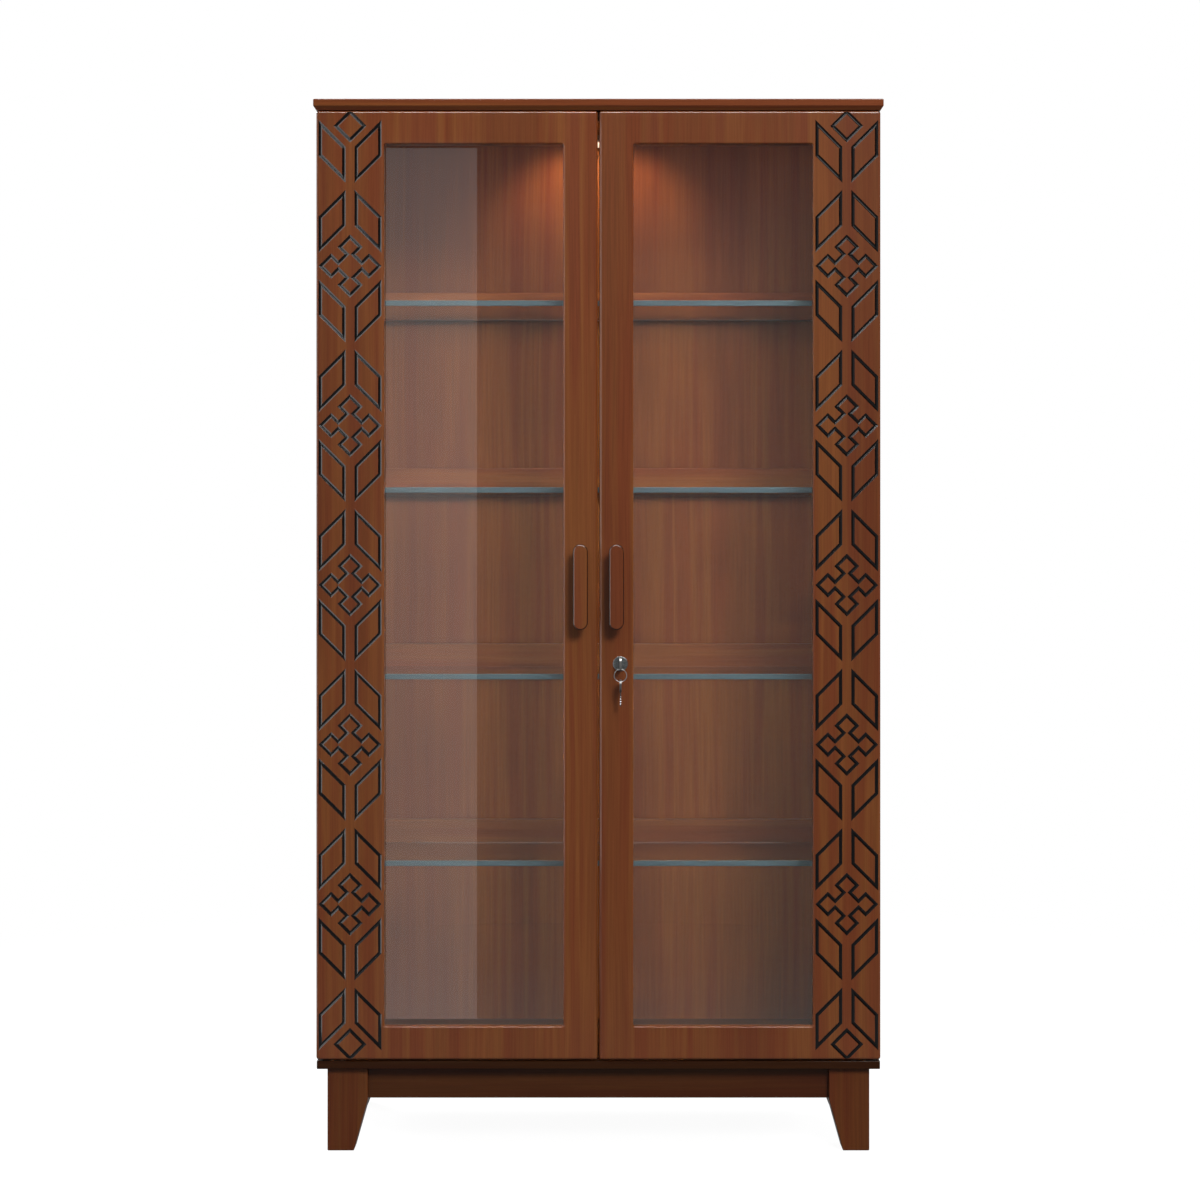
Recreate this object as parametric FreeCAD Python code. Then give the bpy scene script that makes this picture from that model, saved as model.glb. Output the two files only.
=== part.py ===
# A free-standing book cabinet: a wooden carcass on four tapered legs, four glass shelves
# and two glazed doors whose outer stiles are carved with a grooved lattice of flowers.
# Millimetres. X runs left to right, the doors face -Y and +Z is up.
# The origin is on the floor, under the middle of the whole cabinet's box.

import FreeCAD, Part
import math
import os
from FreeCAD import Vector

# Carcass
cabinet_height = 1868.0
carcass_width = 1000.0
cabinet_depth = 400.0
top_board_thickness = 19.0
top_overhang = 5.0
top_bevel_reach = 6.0
top_bevel_height = 7.0
bottom_board_thickness = 15.0
bottom_board_setback = 7.0
side_panel_thickness = 20.0
board_edge_radius = 2.0
back_panel_thickness = 15.0
back_panel_setback = 23.0
back_groove_depth = 8.0

# Fits shared by all the joinery
fit_clearance = 0.05
running_clearance = 0.05
rest_clearance = 0.3
cut_overrun = 1.0

# Legs and aprons
leg_height = 148.0
leg_top_width = 72.0
front_foot_width = 47.0
rear_foot_width = 38.0
leg_side_inset = 17.5
leg_front_inset = 20.0
leg_edge_radius = 2.0
apron_height = 57.0
apron_thickness = 20.0
apron_setback = 12.0
apron_tenon_length = 20.0
apron_tenon_thickness = 8.0
apron_tenon_margin = 8.0
cleat_size = 20.0
cleat_length = 60.0
cleat_place_share = 0.5

# Dowels, screws
dowel_radius = 4.0
dowel_board_depth = 10.0
dowel_panel_depth = 20.0
panel_dowel_shares = (0.1, 0.45, 0.8)
leg_dowel_shares = (0.3, 0.7)
wood_screw_radius = 2.0
wood_screw_head_radius = 4.0
wood_screw_head_height = 2.0
wood_screw_bite = 10.0
plate_screw_radius = 1.5
plate_screw_head_radius = 3.0
plate_screw_head_height = 1.5
plate_screw_bite = 9.0

# Shelves
shelf_count = 4
lowest_bay_extra = 6.0
shelf_thickness = 10.0
shelf_front_setback = 88.0
shelf_edge_radius = 0.8
shelf_side_gap = 1.0
shelf_back_gap = 0.5
back_rail_thickness = 18.0
back_rail_rise = 43.0
shelf_pin_radius = 2.5
shelf_pin_depth = 9.0
shelf_pad_length = 9.0
shelf_pad_width = 9.0
shelf_pad_thickness = 3.0
shelf_pin_inset = 40.0

# Doors
door_thickness = 20.0
door_carcass_gap = 3.0
door_meeting_gap = 3.0
door_bottom_gap = 3.5
door_top_gap = 1.2
door_edge_radius = 4.5
outer_stile_width = 120.0
inner_stile_width = 60.5
door_rail_width = 58.5
opening_corner_radius = 4.0
opening_edge_radius = 2.5
glass_lip = 8.0
rebate_width = 8.0
door_glass_thickness = 4.0
glass_edge_gap = 1.0
door_tenon_length = 25.0
door_tenon_thickness = 8.0
door_tenon_margin = 10.0

# Carved lattice on the outer stiles: V grooves with a narrow flat floor
flower_count = 5
lattice_end_overrun = 7.25
groove_width = 6.6
groove_floor_width = 0.8
groove_depth = 1.9
groove_overrun = 0.2
end_diamond_inset = 2.2
flower_core_share = 0.2167
flower_petal_share = 0.15
flower_petal_distance_share = 0.279
leaf_inner_share = 0.0917
leaf_outer_share = 0.439
leaf_start_share = 0.1095
leaf_side_share = 0.1953
end_diamond_share = 0.2083

# Pivot hinges at the top and bottom of each door's outer edge
pivot_edge_inset = 8.0
pivot_face_inset = 12.0
pivot_pin_radius = 3.0
pivot_boss_radius = 4.0
pivot_pin_length = 9.0
pivot_plate_length = 50.0
pivot_plate_width = 8.0
pivot_plate_thickness = 2.5
pivot_plate_end_inset = 2.0
pivot_screw_shares = (0.5, 0.85)
bush_radius = 5.0
bush_flange_radius = 6.0
bush_flange_thickness = 1.0
bush_length = 10.0

# Handles
handle_width = 26.0
handle_length = 150.0
handle_thickness = 12.0
handle_standoff = 21.0
handle_edge_radius = 3.0
handle_center_height = 1004.0
handle_post_radius = 6.0
handle_post_inset = 25.0
handle_screw_bite = 14.0

# Magnetic catch under the top board, and its strikes on the doors
catch_width = 60.0
catch_depth = 20.0
catch_height = 15.0
catch_ear_depth = 10.0
catch_ear_thickness = 3.0
catch_screw_share = 0.3
strike_thickness = 1.3
strike_width = 24.0
strike_height = 9.0
strike_edge_inset = 4.5

# Lock in the right door, and its keeper on the left door
lock_drop = 61.0
lock_edge_inset = 37.5
lock_rosette_radius = 13.2
lock_rosette_thickness = 3.0
lock_rosette_edge_radius = 1.2
lock_body_radius = 9.0
lock_nut_radius = 12.5
lock_nut_thickness = 3.0
plug_radius = 5.5
plug_neck_radius = 4.0
plug_recess = 0.3
plug_tail_length = 2.0
cam_thickness = 2.0
cam_width = 16.0
cam_length = 52.0
keeper_thickness = 2.5
keeper_width = 26.0
keeper_height = 30.0
keeper_edge_inset = 4.5
keyway_clearance = 0.2

# Keys and their ring
key_bow_length = 22.0
key_bow_width = 24.0
key_bow_thickness = 3.5
key_bow_corner_radius = 8.0
key_slot_length = 19.6
key_slot_width = 5.0
key_slot_end_wall = 2.5
key_blade_length = 25.0
key_blade_width = 7.0
key_blade_thickness = 2.0
key_shoulder_gap = 1.0
key_tooth_depth = 1.5
key_tooth_count = 4
key_tooth_span_share = 0.7
ring_radius = 11.0
ring_wire_radius = 0.75

# Bolt inside the left door
bolt_radius = 3.0
bolt_travel = 12.0
bolt_case_width = 18.0
bolt_case_depth = 12.0
bolt_case_height = 60.0
bolt_case_lift = 15.0
bolt_end_lift = 1.0
bolt_knob_radius = 2.5
bolt_knob_reach = 5.0
bolt_knob_clearance = 0.4
bolt_hole_clearance = 0.5
bolt_hole_spare = 2.0

# Round light under the top board
light_radius = 34.0
light_height = 12.0
light_setback = 278.0
light_rim = 5.0
light_lens_thickness = 3.0
light_recess_depth = 3.5
light_edge_radius = 1.5

# Stations across the depth
handle_reach = handle_standoff + handle_thickness
door_front = handle_reach - (handle_reach + cabinet_depth) / 2
door_back = door_front + door_thickness
carcass_front = door_back + door_carcass_gap
carcass_back = door_front + cabinet_depth
back_panel_rear = carcass_back - back_panel_setback
back_panel_face = back_panel_rear - back_panel_thickness
back_rail_face = back_panel_face - back_rail_thickness
shelf_front = door_front + shelf_front_setback
shelf_back = back_rail_face - shelf_back_gap
pivot_y = door_front + pivot_face_inset

# Stations across the width, for the right half
half_width = carcass_width / 2
panel_inner_x = half_width - side_panel_thickness
door_outer_x = half_width
door_inner_x = door_meeting_gap / 2
outer_stile_x = door_outer_x - outer_stile_width
inner_stile_x = door_inner_x + inner_stile_width
pivot_x = door_outer_x - pivot_edge_inset
handle_x = (door_inner_x + inner_stile_x) / 2
lock_x = door_inner_x + lock_edge_inset
leg_outer_x = half_width - leg_side_inset
leg_inner_x = leg_outer_x - leg_top_width

# Stations up the height
carcass_bottom = leg_height + bottom_board_thickness
carcass_top = cabinet_height - top_board_thickness
door_bottom = carcass_bottom + door_bottom_gap
door_top = carcass_top - door_top_gap
opening_bottom = door_bottom + door_rail_width
opening_top = door_top - door_rail_width
apron_bottom = leg_height - apron_height
lock_center_height = handle_center_height - handle_length / 2 - lock_drop
lowest_bay_floor = carcass_bottom + lowest_bay_extra
bay_height = (carcass_top - lowest_bay_floor - shelf_count * shelf_thickness) / (shelf_count + 1)

RIGHT = Vector(1, 0, 0)
BACK = Vector(0, 1, 0)
UP = Vector(0, 0, 1)
LEFT = -RIGHT
FRONT = -BACK
DOWN = -UP


# Shape helpers

def box(x_low, x_high, y_low, y_high, z_low, z_high):
    corner = Vector(x_low, y_low, z_low)
    return Part.makeBox(x_high - x_low, y_high - y_low, z_high - z_low, corner)


def rod(radius, length, start, direction):
    return Part.makeCylinder(radius, length, start, direction)


def polygon_face(points):
    return Part.Face(Part.makePolygon(points + points[:1]))


def merged(shape, others):
    return shape.fuse(others).removeSplitter()


def cut_away(shape, cutters):
    return shape.cut(cutters)


def mirrored(shape):
    return shape.mirror(Vector(0, 0, 0), RIGHT)


def both_sides(shape):
    return [shape, mirrored(shape)]


def edge_runs_along(edge, direction):
    parallel_share = 0.999
    run = edge.Vertexes[-1].Point - edge.Vertexes[0].Point
    return run.Length > 0 and abs(run.dot(direction)) > run.Length * parallel_share


def rounded(shape, radius, chosen):
    edges = [edge for edge in shape.Edges if chosen(edge)]
    return shape.makeFillet(radius, edges)


def rounded_along(shape, radius, direction):
    return rounded(shape, radius, lambda edge: edge_runs_along(edge, direction))


def countersunk_screw(radius, head_radius, head_height, length, start, direction):
    shank = rod(radius, length, start, direction)
    head = Part.makeCone(head_radius, radius, head_height, start, direction)
    return merged(shank, [head])


def wood_screw(length, start, direction, growth=0):
    return countersunk_screw(
        wood_screw_radius + growth,
        wood_screw_head_radius + growth,
        wood_screw_head_height,
        length + growth,
        start,
        direction,
    )


def plate_screw(length, start, direction, growth=0):
    return countersunk_screw(
        plate_screw_radius + growth,
        plate_screw_head_radius + growth,
        plate_screw_head_height,
        length + growth,
        start,
        direction,
    )


# Dowels that pin the side panels and the legs to the two boards

def dowel_places():
    """Where each dowel crosses a joint, and the way from the board into the panel or leg."""
    places = []
    panel_x = half_width - side_panel_thickness / 2
    panel_depth = carcass_back - carcass_front
    for share in panel_dowel_shares:
        y = carcass_front + panel_depth * share
        for x in (panel_x, -panel_x):
            places.append((Vector(x, y, carcass_top), DOWN))
            places.append((Vector(x, y, carcass_bottom), UP))
    leg_x = (leg_outer_x + leg_inner_x) / 2
    for leg_front in (door_front + leg_front_inset, carcass_back - leg_side_inset - leg_top_width):
        for share in leg_dowel_shares:
            y = leg_front + leg_top_width * share
            for x in (leg_x, -leg_x):
                places.append((Vector(x, y, leg_height), DOWN))
    return places


def dowels(growth=0):
    solids = []
    length = dowel_board_depth + dowel_panel_depth
    for place, inward in dowel_places():
        start = place - inward * (dowel_board_depth + growth)
        solids.append(rod(dowel_radius + growth, length + growth + growth, start, inward))
    return solids


# Legs and aprons

def leg(foot_width):
    """A leg with its outer corner at the origin, growing towards +X and +Y."""
    taper_height = leg_height - apron_height
    profile = (
        (0, 0),
        (foot_width, 0),
        (leg_top_width, taper_height),
        (leg_top_width, leg_height),
        (0, leg_height),
    )
    seen_from_front = polygon_face([Vector(across, 0, up) for across, up in profile])
    seen_from_side = polygon_face([Vector(0, across, up) for across, up in profile])
    shape = seen_from_front.extrude(BACK * leg_top_width)
    shape = shape.common(seen_from_side.extrude(RIGHT * leg_top_width))
    below_top = leg_height - leg_edge_radius
    return rounded(shape, leg_edge_radius, lambda edge: edge.CenterOfMass.z < below_top)


def placed_leg(foot_width, is_rear):
    shape = leg(foot_width)
    shape = mirrored(shape)
    if is_rear:
        shape = shape.mirror(Vector(0, 0, 0), BACK)
        shape.translate(Vector(leg_outer_x, carcass_back - leg_side_inset, 0))
    else:
        shape.translate(Vector(leg_outer_x, door_front + leg_front_inset, 0))
    return shape


def front_apron_board():
    front = door_front + leg_front_inset + apron_setback
    board = box(-leg_inner_x, leg_inner_x, front, front + apron_thickness, apron_bottom, leg_height)
    return rounded_along_below(board, RIGHT)


def rear_apron_board():
    rear = carcass_back - leg_side_inset - apron_setback
    board = box(-leg_inner_x, leg_inner_x, rear - apron_thickness, rear, apron_bottom, leg_height)
    return rounded_along_below(board, RIGHT)


def side_apron_board():
    outer = leg_outer_x - apron_setback
    front = door_front + leg_front_inset + leg_top_width
    rear = carcass_back - leg_side_inset - leg_top_width
    board = box(outer - apron_thickness, outer, front, rear, apron_bottom, leg_height)
    return rounded_along_below(board, BACK)


def rounded_along_below(board, direction):
    middle = (apron_bottom + leg_height) / 2
    return rounded(
        board,
        board_edge_radius,
        lambda edge: edge_runs_along(edge, direction) and edge.CenterOfMass.z < middle,
    )


def apron_tenon(board, along_x):
    """One bar through the whole board that sticks out at both ends as its tenons."""
    bounds = board.BoundBox
    spare = (apron_thickness - apron_tenon_thickness) / 2
    low = bounds.ZMin + apron_tenon_margin
    high = bounds.ZMax - apron_tenon_margin
    reach = apron_tenon_length
    grow_x = reach if along_x else -spare
    grow_y = -spare if along_x else reach
    return box(
        bounds.XMin - grow_x,
        bounds.XMax + grow_x,
        bounds.YMin - grow_y,
        bounds.YMax + grow_y,
        low,
        high,
    )


def base_frame():
    """The four legs, the four aprons tenoned into them, the cleats and the cleats' screws."""
    side_board = side_apron_board()
    boards = {
        "front_apron": (front_apron_board(), True),
        "rear_apron": (rear_apron_board(), True),
        "right_apron": (side_board, False),
        "left_apron": (mirrored(side_board), False),
    }
    tenons = {name: apron_tenon(board, along_x) for name, (board, along_x) in boards.items()}
    screws, screw_holes, cleats = cleats_and_screws(boards)
    mortises = list(tenons.values()) + dowels(fit_clearance)
    front_leg = placed_leg(front_foot_width, False)
    rear_leg = placed_leg(rear_foot_width, True)
    legs = {
        "front_right_leg": front_leg,
        "front_left_leg": mirrored(front_leg),
        "rear_right_leg": rear_leg,
        "rear_left_leg": mirrored(rear_leg),
    }
    nodes = {name: [cut_away(shape, mortises)] for name, shape in legs.items()}
    for name, (board, along_x) in boards.items():
        nodes[name] = [cut_away(merged(board, [tenons[name]]), screw_holes)]
    nodes["apron_cleats"] = [cut_away(cleat, screw_holes) for cleat in cleats]
    nodes["cleat_screws"] = screws
    return nodes, screw_holes


def cleats_and_screws(boards):
    """Each cleat is glued in the corner under the bottom board, inside an apron.
    One screw goes up through it into the board and one goes sideways into the apron."""
    places = []
    front = boards["front_apron"][0].BoundBox
    rear = boards["rear_apron"][0].BoundBox
    side = boards["right_apron"][0].BoundBox
    middle_y = (side.YMin + side.YMax) / 2
    for x in (leg_inner_x * cleat_place_share, -leg_inner_x * cleat_place_share):
        places.append((Vector(x, front.YMax, 0), BACK))
        places.append((Vector(x, rear.YMin, 0), FRONT))
    places.append((Vector(side.XMin, middle_y, 0), LEFT))
    places.append((Vector(-side.XMin, middle_y, 0), RIGHT))
    screws = []
    screw_holes = []
    cleats = []
    for place, inward in places:
        along = UP.cross(inward)
        corner_a = place - along * (cleat_length / 2)
        corner_b = place + along * (cleat_length / 2) + inward * cleat_size
        x_low, x_high = sorted((corner_a.x, corner_b.x))
        y_low, y_high = sorted((corner_a.y, corner_b.y))
        cleats.append(box(x_low, x_high, y_low, y_high, leg_height - cleat_size, leg_height))
        middle = place + inward * (cleat_size / 2) + UP * (leg_height - cleat_size)
        upright = middle + along * (cleat_length / 4)
        sideways = middle - along * (cleat_length / 4) + inward * (cleat_size / 2) + UP * (cleat_size / 2)
        length = cleat_size + wood_screw_bite
        for start, direction in ((upright, UP), (sideways, -inward)):
            screws.append(wood_screw(length, start, direction))
            screw_holes.append(wood_screw(length, start, direction, fit_clearance))
    return screws, screw_holes, cleats


# Pivot hinges: plates let into the boards, with a boss and pin that enter the door's bush

def pivot_parts(at_top):
    """The right-hand plate, its screws, and the recess that it leaves in the board."""
    face_z = carcass_top if at_top else carcass_bottom
    into_door = DOWN if at_top else UP
    gap = door_top_gap if at_top else door_bottom_gap
    x_high = half_width - pivot_plate_end_inset
    x_low = x_high - pivot_plate_length
    y_low = pivot_y - pivot_plate_width / 2
    y_high = pivot_y + pivot_plate_width / 2
    z_low, z_high = sorted((face_z, face_z - into_door.z * pivot_plate_thickness))
    plate = box(x_low, x_high, y_low, y_high, z_low, z_high)
    boss_height = gap - bush_flange_thickness - running_clearance
    center = Vector(pivot_x, pivot_y, face_z)
    boss = rod(pivot_boss_radius, boss_height, center, into_door)
    pin = rod(pivot_pin_radius, boss_height + pivot_pin_length, center, into_door)
    screws = []
    holes = []
    for share in pivot_screw_shares:
        head = Vector(x_high - pivot_plate_length * share, pivot_y, face_z)
        length = pivot_plate_thickness + plate_screw_bite
        screws.append(plate_screw(length, head, -into_door))
        holes.append(plate_screw(length, head, -into_door, fit_clearance))
    recess = plate
    plate = cut_away(merged(plate, [boss, pin]), holes)
    return plate, screws, [recess] + holes


def bush_parts(at_top):
    """The right-hand flanged bush and the hole that it fills in the door."""
    end_z = door_top if at_top else door_bottom
    into_door = DOWN if at_top else UP
    center = Vector(pivot_x, pivot_y, end_z)
    flange_start = center - into_door * bush_flange_thickness
    flange = rod(bush_flange_radius, bush_flange_thickness, flange_start, into_door)
    sleeve = rod(bush_radius, bush_length, center, into_door)
    bore_length = bush_length + bush_flange_thickness
    bore = rod(pivot_pin_radius + running_clearance, bore_length, flange_start, into_door)
    bush = cut_away(merged(flange, [sleeve]), [bore])
    hole = rod(bush_radius + fit_clearance, bush_length + fit_clearance, center, into_door)
    return bush, hole


# Magnetic catch, light

def catch_parts():
    front = door_back + strike_thickness + rest_clearance
    rear = front + catch_depth
    case = box(-catch_width / 2, catch_width / 2, front, rear, carcass_top - catch_height, carcass_top)
    case = rounded_along(case, board_edge_radius, BACK)
    ear_bottom = carcass_top - catch_ear_thickness
    ear = box(-catch_width / 2, catch_width / 2, rear, rear + catch_ear_depth, ear_bottom, carcass_top)
    screws = []
    holes = []
    for side in (1, -1):
        head = Vector(side * catch_width * catch_screw_share, rear + catch_ear_depth / 2, ear_bottom)
        length = catch_ear_thickness + plate_screw_bite
        screws.append(plate_screw(length, head, UP))
        holes.append(plate_screw(length, head, UP, fit_clearance))
    return cut_away(merged(case, [ear]), holes), screws, holes


def light_parts():
    low = Vector(0, door_front + light_setback, carcass_top - light_height)
    housing = rod(light_radius, light_height, low, UP)
    below_top = carcass_top - light_edge_radius
    housing = rounded(
        housing,
        light_edge_radius,
        lambda edge: edge.Closed and edge.CenterOfMass.z < below_top,
    )
    recess_radius = light_radius - light_rim
    recess = rod(recess_radius, light_recess_depth, low, UP)
    lens_low = low + UP * (light_recess_depth - light_lens_thickness)
    lens = rod(recess_radius - fit_clearance, light_lens_thickness, lens_low, UP)
    return cut_away(housing, [recess]), lens


# Carcass boards

def top_board(holes):
    """A slab with an upright edge above and a bevel below, at the front and the sides."""
    x = half_width + top_overhang
    front = door_front - top_overhang
    bevel_top = carcass_top + top_bevel_height
    slab = box(-x, x, front, carcass_back, bevel_top, cabinet_height)
    slab = rounded(
        slab,
        board_edge_radius,
        lambda edge: edge.CenterOfMass.z > bevel_top and edge.CenterOfMass.y < carcass_back - top_overhang,
    )

    def outline(inset, z):
        corners = (
            Vector(inset - x, front + inset, z),
            Vector(x - inset, front + inset, z),
            Vector(x - inset, carcass_back, z),
            Vector(inset - x, carcass_back, z),
        )
        return Part.makePolygon(corners + corners[:1])

    bevel = Part.makeLoft([outline(top_bevel_reach, carcass_top), outline(0, bevel_top)], True, True)
    return cut_away(merged(slab, [bevel]), holes)


def bottom_board(holes):
    front = door_front + bottom_board_setback
    board = box(-half_width, half_width, front, carcass_back, leg_height, carcass_bottom)
    board = rounded(
        board,
        board_edge_radius,
        lambda edge: edge.CenterOfMass.y < carcass_back - board_edge_radius,
    )
    return cut_away(board, holes)


def back_panel():
    half = panel_inner_x + back_groove_depth
    return box(-half, half, back_panel_face, back_panel_rear, carcass_bottom, carcass_top)


def side_panel(holes):
    panel = box(panel_inner_x, half_width, carcass_front, carcass_back, carcass_bottom, carcass_top)
    panel = rounded_along(panel, board_edge_radius, UP)
    return cut_away(panel, [back_panel()] + holes)


# Shelves, the rails behind them and the pins under them

def shelf_bottom(index):
    """Underside of the shelf with this index, counted up from 1."""
    return lowest_bay_floor + index * bay_height + (index - 1) * shelf_thickness


def glass_shelf(index):
    half = panel_inner_x - shelf_side_gap
    low = shelf_bottom(index)
    glass = box(-half, half, shelf_front, shelf_back, low, low + shelf_thickness)
    return rounded_along(glass, shelf_edge_radius, RIGHT)


def back_rail(index):
    low = shelf_bottom(index)
    high = low + shelf_thickness + back_rail_rise
    rail = box(-panel_inner_x, panel_inner_x, back_rail_face, back_panel_face, low, high)
    front_of_middle = (back_rail_face + back_panel_face) / 2
    return rounded(
        rail,
        board_edge_radius,
        lambda edge: edge_runs_along(edge, RIGHT) and edge.CenterOfMass.y < front_of_middle,
    )


def shelf_pins(growth=0):
    """Pins for the right-hand panel: a post in the panel and a flat pad under the glass."""
    solids = []
    for index in range(1, shelf_count + 1):
        seat = shelf_bottom(index)
        for y in (shelf_front + shelf_pin_inset, shelf_back - shelf_pin_inset):
            center = Vector(panel_inner_x, y, seat - shelf_pad_thickness / 2)
            post = rod(shelf_pin_radius + growth, shelf_pin_depth + growth, center, RIGHT)
            if growth:
                solids.append(post)
                continue
            pad = box(
                panel_inner_x - shelf_pad_length,
                panel_inner_x,
                y - shelf_pad_width / 2,
                y + shelf_pad_width / 2,
                seat - shelf_pad_thickness,
                seat,
            )
            solids.append(merged(pad, [post]))
    return solids


# Door frame: a rounded slab with a window, split into stiles and rails with tenons

def door_window():
    window = box(
        inner_stile_x,
        outer_stile_x,
        door_front - cut_overrun,
        door_back + cut_overrun,
        opening_bottom,
        opening_top,
    )
    return rounded_along(window, opening_corner_radius, BACK)


def glass_rebate():
    return box(
        inner_stile_x - rebate_width,
        outer_stile_x + rebate_width,
        door_front + glass_lip,
        door_back + cut_overrun,
        opening_bottom - rebate_width,
        opening_top + rebate_width,
    )


def door_slab():
    slab = box(door_inner_x, door_outer_x, door_front, door_back, door_bottom, door_top)
    slab = slab.makeFillet(door_edge_radius, slab.Edges)
    slab = cut_away(slab, [door_window()])

    def on_window_front(edge):
        bounds = edge.BoundBox
        in_front = bounds.YMax < door_front + opening_edge_radius / 2
        between = bounds.XMin > inner_stile_x - cut_overrun and bounds.XMax < outer_stile_x + cut_overrun
        above = bounds.ZMin > opening_bottom - cut_overrun
        below = bounds.ZMax < opening_top + cut_overrun
        return in_front and between and above and below

    slab = rounded(slab, opening_edge_radius, on_window_front)
    return cut_away(slab, [glass_rebate()])


def rail_tenons(low, high):
    """Two tenons for a rail, from its ends into the stiles, clear of the glass rebate."""
    y_low = door_front + (door_thickness - door_tenon_thickness) / 2
    y_high = y_low + door_tenon_thickness
    return [
        box(inner_stile_x - door_tenon_length, inner_stile_x, y_low, y_high, low, high),
        box(outer_stile_x, outer_stile_x + door_tenon_length, y_low, y_high, low, high),
    ]


def door_frame_parts():
    slab = door_slab()
    y_low = door_front - cut_overrun
    y_high = door_back + cut_overrun
    z_low = door_bottom - cut_overrun
    z_high = door_top + cut_overrun
    inner = slab.common(box(door_inner_x - cut_overrun, inner_stile_x, y_low, y_high, z_low, z_high))
    outer = slab.common(box(outer_stile_x, door_outer_x + cut_overrun, y_low, y_high, z_low, z_high))
    middle_z = (door_bottom + door_top) / 2
    top = slab.common(box(inner_stile_x, outer_stile_x, y_low, y_high, middle_z, z_high))
    bottom = slab.common(box(inner_stile_x, outer_stile_x, y_low, y_high, z_low, middle_z))
    margin = door_tenon_margin
    top_tenons = rail_tenons(opening_top + rebate_width + margin, door_top - margin)
    bottom_tenons = rail_tenons(door_bottom + margin, opening_bottom - rebate_width - margin)
    tenons = top_tenons + bottom_tenons
    return {
        "outer_stile": cut_away(outer, tenons),
        "inner_stile": cut_away(inner, tenons),
        "top_rail": merged(top, top_tenons),
        "bottom_rail": merged(bottom, bottom_tenons),
    }


def door_pane():
    gap = glass_edge_gap
    return box(
        inner_stile_x - rebate_width + gap,
        outer_stile_x + rebate_width - gap,
        door_front + glass_lip,
        door_front + glass_lip + door_glass_thickness,
        opening_bottom - rebate_width + gap,
        opening_top + rebate_width - gap,
    )


def glass_beads():
    """Four strips behind the pane, flush with the door's back and the window's edge."""
    y_low = door_front + glass_lip + door_glass_thickness
    low = opening_bottom - rebate_width
    high = opening_top + rebate_width
    strips = [
        box(inner_stile_x - rebate_width, inner_stile_x, y_low, door_back, low, high),
        box(outer_stile_x, outer_stile_x + rebate_width, y_low, door_back, low, high),
        box(inner_stile_x, outer_stile_x, y_low, door_back, low, opening_bottom),
        box(inner_stile_x, outer_stile_x, y_low, door_back, opening_top, high),
    ]
    return strips


# Carved lattice. Outlines are points (across, up) from the motif's centre, anticlockwise.

def turned_eighth(points):
    turn = math.sqrt(0.5)
    return [((across - up) * turn, (across + up) * turn) for across, up in points]


def turned_quarters(points):
    """The points, then the same points turned by one, two and three quarter turns."""
    outline = []
    for quarter in range(4):
        outline.extend(points)
        points = [(-up, across) for across, up in points]
    return outline


def flower_outline():
    """A square core joined at its corners to four smaller squares, all set as diamonds."""
    core = outer_stile_width * flower_core_share * math.sqrt(0.5)
    near = outer_stile_width * (flower_petal_distance_share - flower_petal_share) * math.sqrt(0.5)
    far = outer_stile_width * (flower_petal_distance_share + flower_petal_share) * math.sqrt(0.5)
    corner = [(core, near), (far, near), (far, far), (near, far), (near, core)]
    return turned_eighth(turned_quarters(corner))


def diamond_outline():
    half = outer_stile_width * end_diamond_share
    return [(half, 0), (0, half), (-half, 0), (0, -half)]


def leaf_outline(pitch):
    """The leaf above and to the right of a flower: upright sides, and slants that rise inwards."""
    inner = outer_stile_width * leaf_inner_share
    outer = outer_stile_width * leaf_outer_share
    start = pitch * leaf_start_share
    side = pitch * leaf_side_share
    rise = outer - inner
    return [(outer, start), (outer, start + side), (inner, start + rise + side), (inner, start + rise)]


def offset_outline(points, distance):
    """Moves each side outwards by the distance and joins the sides again with mitres."""
    moved = []
    count = len(points)
    for index in range(count):
        before = points[index - 1]
        here = points[index]
        after = points[(index + 1) % count]
        normal_in = side_normal(before, here)
        normal_out = side_normal(here, after)
        share = distance / (1 + normal_in[0] * normal_out[0] + normal_in[1] * normal_out[1])
        across = here[0] + share * (normal_in[0] + normal_out[0])
        up = here[1] + share * (normal_in[1] + normal_out[1])
        moved.append((across, up))
    return moved


def side_normal(start, end):
    run = end[0] - start[0]
    rise = end[1] - start[1]
    length = math.hypot(run, rise)
    return (rise / length, -run / length)


def tapered_prism(points, front_offset, back_offset, y_front, y_back):
    wires = []
    for offset, y in ((front_offset, y_front), (back_offset, y_back)):
        corners = [Vector(across, y, up) for across, up in offset_outline(points, offset)]
        wires.append(Part.makePolygon(corners + corners[:1]))
    return Part.makeLoft(wires, True, True)


def groove_cutter(points):
    """A ring of groove along a closed outline, from in front of the door down to its floor."""
    floor_half = groove_floor_width / 2
    slope = (groove_width - groove_floor_width) / 2 / groove_depth
    y_front = door_front - groove_overrun
    y_floor = door_front + groove_depth
    mouth_half = groove_width / 2 + slope * groove_overrun
    below_half = floor_half - slope * groove_overrun
    outer = tapered_prism(points, mouth_half, floor_half, y_front, y_floor)
    inner = tapered_prism(points, -mouth_half, -below_half, y_front, y_floor + groove_overrun)
    return outer.cut(inner)


def placed(outline, x, z, flip_across=False, flip_up=False):
    """The outline at a place on the stile. One flip alone would turn it clockwise, so it is reversed."""
    across_sign = -1 if flip_across else 1
    up_sign = -1 if flip_up else 1
    points = [(x + across_sign * across, z + up_sign * up) for across, up in outline]
    if flip_across != flip_up:
        points.reverse()
    return points


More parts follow.
